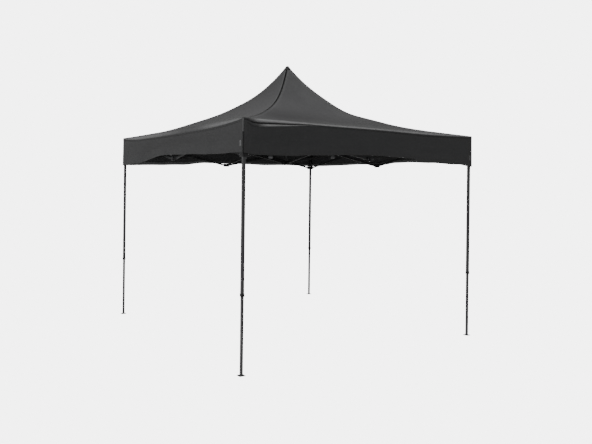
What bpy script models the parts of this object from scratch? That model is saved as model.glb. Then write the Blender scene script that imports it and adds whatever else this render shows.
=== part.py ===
"""Folding party tent: scissor frame on four telescopic legs with a peaked cloth roof.

Metres, +Z up, +X east, +Y north, origin on the ground at the middle.
Every side is built once, for the north side, and turned about Z for the other three.
"""
import bpy
import math
from mathutils import Matrix, Vector
from mathutils.geometry import delaunay_2d_cdt

# Overall sizes
HALF = 1.470            # leg centre to the middle of the tent
CLOTH_HALF = 1.494      # outer face of the cloth
CLOTH_T = 0.003         # thickness of the cloth shells
HEM_Z = 1.930           # bottom of the valance at the corners
HEM_ARCH = 0.034        # rise of the hem at mid side
VALANCE_TOP = 2.2252
EAVE_Z = 2.2290
PEAK_Z = 3.0955
GORE_GAP = 0.0002       # from a hip plane to the edge of a gore
GORE_SAG = 0.030        # how far a gore is pulled in between its hips

# Truss layout
Z_TOP = 2.203           # pins of leg tops, top mid brackets and upper hub
Z_LOW = 1.925           # pins of sliders, bottom mid brackets and lower hub
O_LEG = 0.040           # pin from the leg axis
O_HUB = 0.040           # pin from the hub axis
O_MID = 0.030           # pin from the middle of a mid bracket
SPAN = HALF - O_LEG - O_MID
RISE = Z_TOP - Z_LOW
BAR_L = math.hypot(SPAN, RISE)
BAR_ANGLE = math.atan2(RISE, SPAN)

# Bars
BAR_DEPTH = 0.020
BAR_T = 0.010
LAYER = 0.007           # middle of a bar from the truss plane
PIN_R = 0.0030
HOLE_R = 0.0035
PIN_SIDES = 10

# Brackets
CHEEK_IN = 0.0016
CHEEK_OUT = (0.0124, 0.0154)
REACH = 0.011
MID_HALF = 0.016
HUB_HALF = 0.020
TOP_HALF = 0.018
SLIDER_HALF = 0.019
BRACKET_H = 0.020       # half height about the pins
TOP_Z = 2.2262          # top of the brackets under the roof cloth

# Legs
TUBE_OUT = 0.0140
TUBE_IN = 0.0124
TUBE_Z = (0.700, 2.1960)
INNER_OUT = 0.0120
INNER_IN = 0.0106
INNER_TOP = 1.220
FOOT_HALF = 0.030
FOOT_T = 0.004
CORNER = 0.0022

# Peak pole
POLE_R = 0.011
POLE_BORE = 0.0117

SIDES = ("north", "east", "south", "west")


def clear_scene():
    for obj in list(bpy.data.objects):
        bpy.data.objects.remove(obj, do_unlink=True)


def material(name, colour, roughness, metallic):
    mat = bpy.data.materials.new(name)
    mat.use_nodes = True
    bsdf = mat.node_tree.nodes["Principled BSDF"]
    bsdf.inputs["Base Color"].default_value = (*colour, 1.0)
    bsdf.inputs["Roughness"].default_value = roughness
    bsdf.inputs["Metallic"].default_value = metallic
    return mat


STEEL = (0.030, 0.031, 0.033)
CLOTH = (0.052, 0.052, 0.054)
PLASTIC = (0.012, 0.012, 0.013)
ZINC = (0.55, 0.56, 0.57)


def mesh_of(name, points, faces):
    mesh = bpy.data.meshes.new(name)
    mesh.from_pydata([tuple(p) for p in points], [], faces)
    mesh.update()
    return mesh


def add(name, mesh, colour, roughness, metallic):
    obj = bpy.data.objects.new(name, mesh)
    bpy.context.scene.collection.objects.link(obj)
    obj.data.materials.append(material(name + "_paint", colour, roughness, metallic))
    return obj


def circle(x, y, radius, sides=PIN_SIDES):
    step = 2 * math.pi / sides
    return [(x + radius * math.cos((i + 0.5) * step), y + radius * math.sin((i + 0.5) * step))
            for i in range(sides)]


def square(half, corner=0.0):
    """Square outline, counter clockwise, with each corner cut off by corner."""
    c = corner
    h = half
    if not c:
        return [(h, -h), (h, h), (-h, h), (-h, -h)]
    return [(h, -h + c), (h, h - c), (h - c, h), (-h + c, h),
            (-h, h - c), (-h, -h + c), (-h + c, -h), (h - c, -h)]


def inside(point, ring):
    """Whether a point lies inside a ring, by counting crossings."""
    odd = False
    for i in range(len(ring)):
        x0, y0 = ring[i - 1]
        x1, y1 = ring[i]
        if (y0 > point.y) != (y1 > point.y):
            if point.x < x0 + (x1 - x0) * (point.y - y0) / (y1 - y0):
                odd = not odd
    return odd


def filled(rings):
    """Triangles over the area of the first ring less the others, facing up."""
    flat = [Vector((x, y)) for ring in rings for x, y in ring]
    edges = []
    for ring in rings:
        start = len(edges)
        size = len(ring)
        edges += [(start + i, start + (i + 1) % size) for i in range(size)]
    result = delaunay_2d_cdt(flat, edges, [], 2, 1e-7)
    source = [known[0] for known in result[3]]
    faces = []
    for face in result[2]:
        a, b, c = [source[i] for i in face]
        middle = (flat[a] + flat[b] + flat[c]) / 3
        if any(inside(middle, ring) for ring in rings[1:]):
            continue
        turn = (flat[b] - flat[a]).cross(flat[c] - flat[a])
        faces.append((a, b, c) if turn > 0 else (a, c, b))
    return faces


def prism(loops, low, high, bosses=()):
    """Points and faces of a flat shape with holes, raised from low to high.

    The first loop is the outline. A boss is a loop and the height that it stands up to.
    """
    rings = list(loops) + [ring for ring, _ in bosses]
    flat = [Vector((x, y)) for ring in rings for x, y in ring]
    count = len(flat)
    points = [(p.x, p.y, low) for p in flat] + [(p.x, p.y, high) for p in flat]
    faces = [face[::-1] for face in filled(loops)]
    faces += [tuple(i + count for i in face) for face in filled(rings)]
    start = 0
    for number, ring in enumerate(loops):
        size = len(ring)
        for i in range(size):
            a = start + i
            b = start + (i + 1) % size
            face = (a, b, b + count, a + count)
            faces.append(face if number == 0 else face[::-1])
        start += size
    # bosses: their underside points stay unused, so they are lifted to the end of the boss
    for ring, height in bosses:
        size = len(ring)
        for i in range(size):
            x, y, _ = points[start + i]
            points[start + i] = (x, y, height)
        for i in range(size):
            a = start + i
            b = start + (i + 1) % size
            faces.append((a + count, b + count, b, a))
        faces.append(tuple(range(start, start + size)))
        start += size
    return points, faces


def loft(rings):
    """Closed body through rings of equal size, both ends filled."""
    size = len(rings[0])
    points = [p for ring in rings for p in ring]
    faces = [tuple(range(size))[::-1]]
    for k in range(len(rings) - 1):
        for i in range(size):
            a = k * size + i
            b = k * size + (i + 1) % size
            faces.append((a, b, b + size, a + size))
    faces.append(tuple(range((len(rings) - 1) * size, len(rings) * size)))
    return points, faces


def moved(points, matrix):
    return [matrix @ Vector(p) for p in points]


def bar_outline(length):
    """Rounded bar outline along X, centred on the middle."""
    r = BAR_DEPTH / 2
    half = length / 2
    outline = []
    for i in range(7):
        a = math.radians(-90 + 30 * i)
        outline.append((half + r * math.cos(a), r * math.sin(a)))
    for i in range(7):
        a = math.radians(90 + 30 * i)
        outline.append((-half + r * math.cos(a), r * math.sin(a)))
    return outline


def bar_mesh(name, with_pin, pin_up):
    """Bar lying in XY with its three holes, or with a centre pin in place of the middle hole."""
    holes = [circle(-BAR_L / 2, 0, HOLE_R), circle(BAR_L / 2, 0, HOLE_R)]
    bosses = []
    if with_pin:
        bosses = [(circle(0, 0, PIN_R), BAR_T / 2 + 2 * LAYER + 0.0004)]
    else:
        holes.append(circle(0, 0, HOLE_R))
    points, faces = prism([bar_outline(BAR_L)] + holes, -BAR_T / 2, BAR_T / 2, bosses)
    if with_pin and not pin_up:
        points = moved(points, Matrix.Rotation(math.pi, 4, "X"))
    return mesh_of(name, points, faces)


def arm_outline(half, arms):
    """Square block seen from above with two cheeks for each arm.

    An arm is (quarter, layer, reach): quarter 0 points to +X, 1 to +Y, 2 to -X, 3 to -Y.
    The layer sign is taken across the arm, counted counter clockwise.
    """
    outline = []
    for quarter in range(4):
        turn = Matrix.Rotation(quarter * math.pi / 2, 2)
        side = [(half, -half)]
        for where, layer, reach in arms:
            if where != quarter:
                continue
            far = sorted((layer * CHEEK_OUT[0], layer * CHEEK_OUT[1]))
            cheeks = sorted([tuple(far), (-CHEEK_IN, CHEEK_IN)])
            for a, b in cheeks:
                side += [(half, a), (reach, a), (reach, b), (half, b)]
        outline += [tuple(turn @ Vector(p)) for p in side]
    return outline


def pin_points(quarter, layer, distance, z):
    """Pin lying across an arm, from the middle of one cheek to the middle of the other."""
    ends = (0.0, layer * (CHEEK_OUT[0] + CHEEK_OUT[1]) / 2)
    turn = Matrix.Rotation(quarter * math.pi / 2, 4, "Z")
    rings = []
    for y in sorted(ends, reverse=True):
        ring = [(distance + x, y, z + h) for x, h in circle(0, 0, PIN_R)]
        rings.append([turn @ Vector(p) for p in ring])
    return loft(rings)


def joined(mesh, operand_points, operand_faces, operation):
    """Mesh with a second body added or cut away by the exact solver."""
    scene = bpy.context.scene
    base = bpy.data.objects.new("base", mesh)
    tool = bpy.data.objects.new("tool", mesh_of("tool", operand_points, operand_faces))
    tool.hide_render = True
    tool.display_type = "WIRE"
    scene.collection.objects.link(base)
    scene.collection.objects.link(tool)
    mod = base.modifiers.new("shape", "BOOLEAN")
    mod.operation = operation
    mod.solver = "EXACT"
    mod.object = tool
    graph = bpy.context.evaluated_depsgraph_get()
    result = bpy.data.meshes.new_from_object(base.evaluated_get(graph))
    result.name = mesh.name
    bpy.data.objects.remove(base, do_unlink=True)
    bpy.data.objects.remove(tool, do_unlink=True)
    return result


def bracket_mesh(name, half, arms, low, high, pin_z, bore=None, pocket=None):
    """Bracket block with forked arms and their pins. Each arm gives its own pin distance."""
    loops = [arm_outline(half, [(q, layer, d + REACH) for q, layer, d in arms])]
    if bore:
        loops.append(bore)
    mesh = mesh_of(name, *prism(loops, low, high))
    if pocket:
        depth_points, depth_faces = prism([square(pocket[0], 0.0)], low - 0.01, pocket[1])
        mesh = joined(mesh, depth_points, depth_faces, "DIFFERENCE")
    points = []
    faces = []
    for quarter, layer, distance in arms:
        more, shape = pin_points(quarter, layer, distance, pin_z)
        faces += [tuple(i + len(points) for i in face) for face in shape]
        points += more
    return joined(mesh, points, faces, "UNION")


def turned(k):
    """Turn about Z that carries the north side to side k."""
    return Matrix.Rotation(-k * math.pi / 2, 4, "Z")


def place(name, mesh, matrix, colour, roughness, metallic):
    """Object of its own mesh copy, with the place kept in the mesh and the origin at the pivot."""
    own = mesh.copy()
    own.name = name
    rotation = matrix.to_3x3().to_4x4()
    own.transform(rotation)
    obj = add(name, own, colour, roughness, metallic)
    obj.location = matrix.to_translation()
    return obj


def bar_matrix(start, end, layer_dir):
    """Bar along start to end, with the bar's own +Z on layer_dir."""
    start = Vector(start)
    end = Vector(end)
    x = (end - start).normalized()
    z = Vector(layer_dir)
    y = z.cross(x)
    m = Matrix((x, y, z)).transposed().to_4x4()
    m.translation = (start + end) / 2
    return m


def build_bars():
    plain = bar_mesh("bar_plain", False, True)
    pinned = bar_mesh("bar_pinned", True, True)
    for k, side in enumerate(SIDES):
        turn = turned(k)
        for hand, sign in (("cw", 1), ("ccw", -1)):
            # outer bar: top mid bracket down to the slider
            outer = bar_matrix((sign * O_MID, HALF + LAYER, Z_TOP),
                               (sign * (HALF - O_LEG), HALF + LAYER, Z_LOW), (0, 1, 0))
            place(f"side_bar_outer_{side}_{hand}", plain, turn @ outer, STEEL, 0.4, 0.9)
            # inner bar: bottom mid bracket up to the leg top, carries the centre pin
            inner = bar_matrix((sign * O_MID, HALF - LAYER, Z_LOW),
                               (sign * (HALF - O_LEG), HALF - LAYER, Z_TOP), (0, 1, 0))
            place(f"side_bar_inner_{side}_{hand}", pinned, turn @ inner, STEEL, 0.4, 0.9)
        rising = bar_matrix((LAYER, O_HUB, Z_LOW), (LAYER, HALF - O_MID, Z_TOP), (1, 0, 0))
        place(f"cross_bar_rising_{side}", plain, turn @ rising, STEEL, 0.4, 0.9)
        falling = bar_matrix((-LAYER, O_HUB, Z_TOP), (-LAYER, HALF - O_MID, Z_LOW), (1, 0, 0))
        place(f"cross_bar_falling_{side}", pinned, turn @ falling, STEEL, 0.4, 0.9)


def build_brackets():
    # across an arm to +X the layer sign follows +Y, to -X it follows -Y, to -Y it follows +X
    top = bracket_mesh("mid_top", MID_HALF, [(0, 1, O_MID), (2, -1, O_MID), (3, 1, O_MID)],
                       -BRACKET_H, TOP_Z - Z_TOP, 0.0)
    low = bracket_mesh("mid_low", MID_HALF, [(0, -1, O_MID), (2, 1, O_MID), (3, -1, O_MID)],
                       -BRACKET_H, BRACKET_H, 0.0)
    leg_top = bracket_mesh("leg_top", TOP_HALF, [(2, 1, O_LEG), (3, -1, O_LEG)],
                           -0.038, TOP_Z - Z_TOP, 0.0,
                           pocket=(TUBE_OUT + 0.0003, TUBE_Z[1] - Z_TOP + 0.0003))
    slider = bracket_mesh("slider", SLIDER_HALF, [(2, -1, O_LEG), (3, 1, O_LEG)],
                          -0.022, 0.022, 0.0, bore=square(TUBE_OUT + 0.0005))
    for k, side in enumerate(SIDES):
        turn = turned(k)
        mid = Matrix.Translation((0, HALF, Z_TOP))
        place(f"mid_bracket_top_{side}", top, turn @ mid, PLASTIC, 0.5, 0.0)
        mid = Matrix.Translation((0, HALF, Z_LOW))
        place(f"mid_bracket_bottom_{side}", low, turn @ mid, PLASTIC, 0.5, 0.0)
    for k, corner in enumerate(("ne", "se", "sw", "nw")):
        turn = turned(k)
        at = Matrix.Translation((HALF, HALF, Z_TOP))
        place(f"leg_top_bracket_{corner}", leg_top, turn @ at, PLASTIC, 0.5, 0.0)
        at = Matrix.Translation((HALF, HALF, Z_LOW))
        place(f"slider_bracket_{corner}", slider, turn @ at, PLASTIC, 0.5, 0.0)
    # hubs: the falling bars hang from the upper one, the rising bars stand in the lower one
    upper = bracket_mesh("hub_upper", HUB_HALF, [(q, 1, O_HUB) for q in range(4)],
                         -BRACKET_H, BRACKET_H, 0.0, bore=circle(0, 0, POLE_BORE, 20))
    place("centre_hub_top", upper, Matrix.Translation((0, 0, Z_TOP)), PLASTIC, 0.5, 0.0)
    lower = bracket_mesh("hub_lower", HUB_HALF, [(q, -1, O_HUB) for q in range(4)],
                         -BRACKET_H, BRACKET_H, 0.0)
    place("centre_hub_bottom", lower, Matrix.Translation((0, 0, Z_LOW)), PLASTIC, 0.5, 0.0)


def ring_at(outline, z):
    return [(x, y, z) for x, y in outline]


def build_legs():
    loops = [square(TUBE_OUT, CORNER), square(TUBE_IN, CORNER * 0.8)]
    tube = mesh_of("leg_outer", *prism(loops, TUBE_Z[0], TUBE_Z[1]))
    inner = mesh_of("leg_inner", *loft([
        ring_at(square(FOOT_HALF, 0.004), 0.0),
        ring_at(square(FOOT_HALF, 0.004), FOOT_T),
        ring_at(square(INNER_OUT, CORNER), FOOT_T),
        ring_at(square(INNER_OUT, CORNER), INNER_TOP),
        ring_at(square(INNER_IN, CORNER * 0.8), INNER_TOP),
        ring_at(square(INNER_IN, CORNER * 0.8), FOOT_T),
    ]))
    for k, corner in enumerate(("ne", "se", "sw", "nw")):
        at = turned(k) @ Matrix.Translation((HALF, HALF, 0))
        place(f"leg_outer_{corner}", tube, at, STEEL, 0.4, 0.9)
        place(f"leg_inner_{corner}", inner, at, STEEL, 0.4, 0.9)


def build_pole():
    profile = [(POLE_R, Z_LOW + BRACKET_H + 0.0003), (POLE_R, 2.990), (0.017, 2.996),
               (0.017, 3.012), (0.015, 3.026), (0.010, 3.040), (0.003, 3.047)]
    rings = []
    for radius, z in profile:
        rings.append([(x, y, z) for x, y in circle(0, 0, radius, 20)])
    mesh = mesh_of("peak_pole", *loft(rings))
    place("peak_pole", mesh, Matrix.Identity(4), ZINC, 0.35, 1.0)


def roof_height(share):
    """Outer height of the roof at a share of the way from the middle to the eave."""
    drop = math.exp(-3.0 * share) - math.exp(-3.0) * share ** 3
    return EAVE_Z + (PEAK_Z - EAVE_Z) * drop


ROOF_ROWS = (0.006, 0.03, 0.06, 0.10, 0.15, 0.21, 0.29, 0.38, 0.50, 0.64, 0.80, 0.92, 1.0)
ROOF_COLS = 8


def gore_points(rows, cols):
    """Outer and inner points of the north gore, row by row from the peak."""
    outer = []
    inner = []
    for share in rows:
        y = share * CLOTH_HALF
        step = 0.0005
        slope = (roof_height(share + step) - roof_height(share - step)) / (2 * step * CLOTH_HALF)
        length = math.hypot(1.0, slope)
        ny = -slope / length
        nz = 1.0 / length
        pull = GORE_SAG * 4 * share * (1 - share)
        z = roof_height(share)
        y_in = y - CLOTH_T * ny
        z_in = z - CLOTH_T * nz
        if share == rows[0]:
            y_in = max(y_in, 0.0042)
        for i in range(cols + 1):
            c = -1 + 2 * i / cols
            bow = pull * (1 - c * c)
            outer.append((c * (y - GORE_GAP), y - bow, z))
            inner.append((c * (y_in - GORE_GAP), y_in - bow, z_in))
    return outer, inner


def sheet(outer, inner, rows, cols):
    """Closed shell between two grids of points."""
    wide = cols + 1
    count = len(outer)
    faces = []
    for r in range(rows - 1):
        for c in range(cols):
            a = r * wide + c
            b = a + 1
            d = a + wide
            e = d + 1
            faces.append((a, b, e, d))
            faces.append((a + count, d + count, e + count, b + count))
    for c in range(cols):
        a = c
        faces.append((a + 1, a, a + count, a + 1 + count))
        a = (rows - 1) * wide + c
        faces.append((a, a + 1, a + 1 + count, a + count))
    for r in range(rows - 1):
        a = r * wide
        faces.append((a, a + wide, a + wide + count, a + count))
        a = r * wide + cols
        faces.append((a + wide, a, a + count, a + wide + count))
    return outer + inner, faces


def build_cloth():
    outer, inner = gore_points(ROOF_ROWS, ROOF_COLS)
    gore = mesh_of("gore", *sheet(outer, inner, len(ROOF_ROWS), ROOF_COLS))
    cols = 12
    outer = []
    inner = []
    for low in (False, True):
        for i in range(cols + 1):
            c = -1 + 2 * i / cols
            z = HEM_Z + HEM_ARCH * (1 - c * c) if low else VALANCE_TOP
            y = CLOTH_HALF
            outer.append((c * (y - GORE_GAP), y, z))
            y = CLOTH_HALF - CLOTH_T
            inner.append((c * (y - GORE_GAP), y, z))
    valance = mesh_of("valance", *sheet(outer, inner, 2, cols))
    for k, side in enumerate(SIDES):
        place(f"roof_{side}", gore, turned(k), CLOTH, 0.8, 0.0)
        place(f"valance_{side}", valance, turned(k), CLOTH, 0.8, 0.0)


def main():
    clear_scene()
    build_legs()
    build_brackets()
    build_bars()
    build_pole()
    build_cloth()


main()
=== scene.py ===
"""Folding party tent: cloth, seams, brackets, bars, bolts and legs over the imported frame."""
import bpy
import bmesh
import math
from mathutils import Matrix, Vector, noise


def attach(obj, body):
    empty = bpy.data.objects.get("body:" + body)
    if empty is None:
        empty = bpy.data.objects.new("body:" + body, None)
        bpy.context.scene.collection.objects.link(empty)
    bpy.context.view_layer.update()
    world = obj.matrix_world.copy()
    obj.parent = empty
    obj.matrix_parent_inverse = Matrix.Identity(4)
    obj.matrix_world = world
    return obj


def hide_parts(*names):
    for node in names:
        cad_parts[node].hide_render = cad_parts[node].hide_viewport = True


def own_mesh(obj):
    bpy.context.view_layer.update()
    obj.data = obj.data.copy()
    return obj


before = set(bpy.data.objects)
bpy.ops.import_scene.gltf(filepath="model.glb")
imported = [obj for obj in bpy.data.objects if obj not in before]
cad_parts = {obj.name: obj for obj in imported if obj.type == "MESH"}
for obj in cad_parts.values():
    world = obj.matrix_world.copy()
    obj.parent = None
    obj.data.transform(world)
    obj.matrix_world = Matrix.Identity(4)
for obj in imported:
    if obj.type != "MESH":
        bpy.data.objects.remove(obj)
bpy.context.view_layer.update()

SIDES = ("north", "east", "south", "west")
CORNERS = ("ne", "se", "sw", "nw")

# Sizes of the tent, in metres
HALF = 1.47
CLOTH_HALF = 1.494
EAVE_Z = 2.229
PEAK_Z = 3.0955
# Bars: the height of their pins, how far the pins stand off the legs, hubs and mid brackets,
# how far a bar's middle lies off the plane in which they cross, and the bracket's cheeks
Z_TOP = 2.203
Z_LOW = 1.925
O_LEG = 0.04
O_HUB = 0.04
O_MID = 0.03
LAYER = 0.007
BAR_T = 0.01
CHEEK_FACE = 0.0154
CHEEK_BACK = 0.0016


# ---- helpers for modelling ----

def side_turn(k):
    """Turn about Z that carries the north side to side k."""
    return Matrix.Rotation(-k * math.pi / 2, 4, "Z")


def deselect():
    bpy.ops.object.select_all(action="DESELECT")


def pick(obj):
    deselect()
    obj.select_set(True)
    bpy.context.view_layer.objects.active = obj


def at_side(k, x, y, z):
    """Point or direction of the north side, carried to side k."""
    return side_turn(k) @ Vector((x, y, z))


def adjust(thing, **settings):
    """Sets properties of a modifier, a node, a light or a camera."""
    for key, value in settings.items():
        setattr(thing, key, value)
    return thing


def choose(action):
    bpy.ops.mesh.select_all(action=action)


def edit(obj):
    pick(obj)
    bpy.ops.object.mode_set(mode="EDIT")


def leave(obj):
    bmesh.update_edit_mesh(obj.data)
    bpy.ops.object.mode_set(mode="OBJECT")


def merge(distance):
    """In edit mode, merges all points that lie closer than a distance."""
    choose("SELECT")
    bpy.ops.mesh.remove_doubles(threshold=distance)


def take_faces(obj, test):
    """Opens a piece in edit mode, with those faces selected whose normal passes a test."""
    edit(obj)
    bpy.ops.mesh.select_mode(type="FACE")
    choose("DESELECT")
    mesh = bmesh.from_edit_mesh(obj.data)
    for face in mesh.faces:
        face.select_set(test(face.normal))
    bmesh.update_edit_mesh(obj.data)


def settle(obj):
    """Leaves a piece at the origin, unturned, with its place in its mesh."""
    pick(obj)
    bpy.ops.object.transform_apply(location=True, rotation=True, scale=True)
    return obj


def is_top(normal):
    return normal.z > 0.9


def work_faces(obj, test, *steps):
    """Works the faces whose normal passes a test. A step is an inset and a rise, or a rise
    alone, which is straight up."""
    take_faces(obj, test)
    for *inset, rise in steps:
        if inset:
            bpy.ops.mesh.inset(thickness=inset[0], depth=rise)
        else:
            bpy.ops.mesh.extrude_region_move(TRANSFORM_OT_translate={"value": (0, 0, rise)})
    leave(obj)
    return settle(obj)


def modify(obj, kind, **settings):
    """Adds a modifier to a piece and applies it."""
    mod = adjust(obj.modifiers.new(kind, kind), **settings)
    pick(obj)
    bpy.ops.object.modifier_apply(modifier=mod.name)
    return obj


def bevel(obj, width, segments, angle):
    return modify(obj, "BEVEL", width=width, segments=segments, limit_method="ANGLE",
                  angle_limit=math.radians(angle))


def solidify(obj, thickness, **settings):
    return modify(obj, "SOLIDIFY", thickness=thickness, offset=-1.0, use_even_offset=True,
                  **settings)


def smooth(obj, angle):
    pick(obj)
    bpy.ops.object.shade_smooth_by_angle(angle=math.radians(angle))
    return obj


def add_object(name, data):
    obj = bpy.data.objects.new(name, data)
    bpy.context.scene.collection.objects.link(obj)
    return obj


def cylinder(sides, radius, depth, place, turn=(0, 0, 0)):
    bpy.ops.mesh.primitive_cylinder_add(vertices=sides, radius=radius, depth=depth,
                                        location=place, rotation=turn)
    return bpy.context.active_object


def torus(steps, ring, tube, place):
    bpy.ops.mesh.primitive_torus_add(major_segments=steps, minor_segments=10,
                                     major_radius=ring, minor_radius=tube, location=place)
    return settle(bpy.context.active_object)


def copy_piece(obj, name, matrix):
    """Copy with a mesh of its own, placed by a matrix."""
    twin = add_object(name, obj.data.copy())
    twin.data.name = name
    twin.data.transform(matrix)
    twin.data.update()
    return twin


def join(name, parts):
    deselect()
    for part in parts:
        part.select_set(True)
    bpy.context.view_layer.objects.active = parts[0]
    bpy.ops.object.join()
    parts[0].name = name
    parts[0].data.name = name
    return parts[0]


def drop(obj):
    bpy.data.objects.remove(obj, do_unlink=True)


def paint(obj, material):
    obj.data.materials.clear()
    obj.data.materials.append(material)
    return obj


def paint_where(obj, material, test):
    """Gives a second material to the faces that pass a test."""
    obj.data.materials.append(material)
    for face in obj.data.polygons:
        if test(face):
            face.material_index = 1


def dress(piece, body):
    """Gives a piece the body that it rides on."""
    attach(piece, body)


# ---- materials ----

class Graph:
    """Adds nodes and links to one node tree in few words."""

    def __init__(self, tree):
        self.tree = tree
        self.nodes = tree.nodes

    def add(self, kind, **settings):
        return adjust(self.nodes.new(kind), **settings)

    def give(self, socket, value):
        """Sets a socket to a plain value, or links another socket to it."""
        if isinstance(value, bpy.types.NodeSocket):
            self.tree.links.new(value, socket)
        else:
            socket.default_value = value

    def fill(self, node, **values):
        """Gives a node its inputs, _ standing for a space, and returns its outputs."""
        for label, value in values.items():
            self.give(node.inputs[label.replace("_", " ")], value)
        return node.outputs

    def noise(self, **values):
        return self.fill(self.add("ShaderNodeTexNoise"), **values)["Fac"]

    def use(self, group, **values):
        return self.fill(self.add("ShaderNodeGroup", node_tree=group), **values)

    def bump(self, **values):
        return self.fill(self.add("ShaderNodeBump"), Distance=1.0, **values)[0]

    def math(self, operation, a, b=None, clamp=False):
        node = self.add("ShaderNodeMath", operation=operation, use_clamp=clamp)
        for socket, value in zip(node.inputs, (a, b)):
            if value is not None:
                self.give(socket, value)
        return node.outputs[0]

    def plus(self, a, b, clamp=False):
        return self.math("ADD", a, b, clamp)

    def minus(self, a, b):
        return self.math("SUBTRACT", a, b)

    def times(self, a, b, clamp=False):
        return self.math("MULTIPLY", a, b, clamp)

    def mix(self, factor, base, over):
        """Colour between two others, each a tint or a socket, by a 0 to 1 value."""
        base, over = [(*c, 1.0) if isinstance(c, tuple) else c for c in (base, over)]
        node = self.add("ShaderNodeMix", data_type="RGBA")
        return self.fill(node, Factor=factor, A=base, B=over)["Result"]


def new_group(name, outputs, **inputs):
    """Node group that takes a vector and the numbers given, _ standing for a space. Comes
    with its graph, the sockets given to it and the node of its outputs."""
    group = bpy.data.node_groups.new(name, "ShaderNodeTree")

    def socket(label, way, kind="NodeSocketFloat"):
        return group.interface.new_socket(label, in_out=way, socket_type=kind)

    socket("Vector", "INPUT", "NodeSocketVector")
    for label, value in inputs.items():
        socket(label.replace("_", " "), "INPUT").default_value = value
    for label in outputs:
        socket(label, "OUTPUT")
    graph = Graph(group)
    return group, graph, graph.add("NodeGroupInput").outputs, graph.add("NodeGroupOutput")


def make_weave():
    """Plain weave: two sets of threads that take turns on top."""
    group, g, given, out = new_group("plain weave", ("Height", "Thread"), Pitch=0.0009)
    split = g.fill(g.add("ShaderNodeSeparateXYZ"), Vector=given["Vector"])
    u, v = [g.math("DIVIDE", way, given["Pitch"]) for way in split[:2]]
    crown_u, crown_v = [g.math("ABSOLUTE", g.math("SINE", g.times(way, math.pi)))
                        for way in (u, v)]
    turn = g.math("PINGPONG", g.plus(g.math("FLOOR", u), g.math("FLOOR", v)), 1.0)
    g.fill(out, Height=g.plus(g.times(crown_u, turn), g.times(crown_v, g.minus(1.0, turn))),
           Thread=g.noise(Vector=given["Vector"], Scale=260.0, Detail=3.0))
    return group


def make_weather():
    """Patchy tone and light dust at two scales."""
    group, g, given, out = new_group("weather", ("Tone", "Dust"), Size=2.0, Contrast=1.0)
    where, size = given["Vector"], given["Size"]
    broad = g.noise(Vector=where, Scale=size, Detail=4.0, Roughness=0.55)
    fine = g.noise(Vector=where, Scale=g.times(size, 9.0), Detail=6.0, Roughness=0.7)
    mixed = g.plus(g.times(broad, 0.65), g.times(fine, 0.35))
    centred = g.times(g.minus(mixed, 0.5), given["Contrast"])
    dust = g.times(g.minus(fine, 0.52), 5.0, clamp=True)
    g.fill(out, Tone=g.plus(centred, 0.5, clamp=True), Dust=g.times(dust, broad))
    return group


def make_stitches():
    """Mask of rows of thread along U, at two distances across V."""
    group, g, given, out = new_group("stitches", ("Mask",), Row=0.003, Other_row=0.01,
                                     Pitch=0.005, Half_width=0.0006)
    split = g.fill(g.add("ShaderNodeSeparateXYZ"), Vector=given["Vector"])
    masks = []
    for label in ("Row", "Other row"):
        away = g.math("ABSOLUTE", g.minus(split[1], given[label]))
        masks.append(g.math("LESS_THAN", away, given["Half width"]))
    along = g.math("FRACT", g.math("DIVIDE", split[0], given["Pitch"]))
    dash = g.math("LESS_THAN", along, 0.72)
    g.fill(out, Mask=g.times(g.math("MAXIMUM", *masks), dash))
    return group


def make_scuffs():
    """Long thin scratches and small rubbed spots."""
    group, g, given, out = new_group("scuffs", ("Mask",), Amount=0.5)
    stretched = g.fill(g.add("ShaderNodeMapping"), Vector=given["Vector"],
                       Scale=(190.0, 190.0, 6.0))[0]
    lines = g.noise(Vector=stretched, Scale=1.0, Detail=3.0)
    spots = g.noise(Vector=given["Vector"], Scale=34.0, Detail=7.0, Roughness=0.75)
    scratch = g.times(g.minus(lines, 0.64), 9.0, clamp=True)
    rubbed = g.times(g.minus(spots, 0.62), 9.0, clamp=True)
    both = g.math("MAXIMUM", scratch, rubbed)
    g.fill(out, Mask=g.times(both, given["Amount"], clamp=True))
    return group


WEAVE = make_weave()
WEATHER = make_weather()
STITCHES = make_stitches()
SCUFFS = make_scuffs()
CLOTH_DUST = (0.08, 0.078, 0.073)
HARD_DUST = (0.1, 0.097, 0.09)
DUST_SHARE = 0.05


def new_material(name):
    material = bpy.data.materials.new(name)
    material.use_nodes = True
    graph = Graph(material.node_tree)
    return material, graph, graph.nodes["Principled BSDF"]


def tinted(colour, share):
    return tuple(share * c for c in colour)


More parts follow.
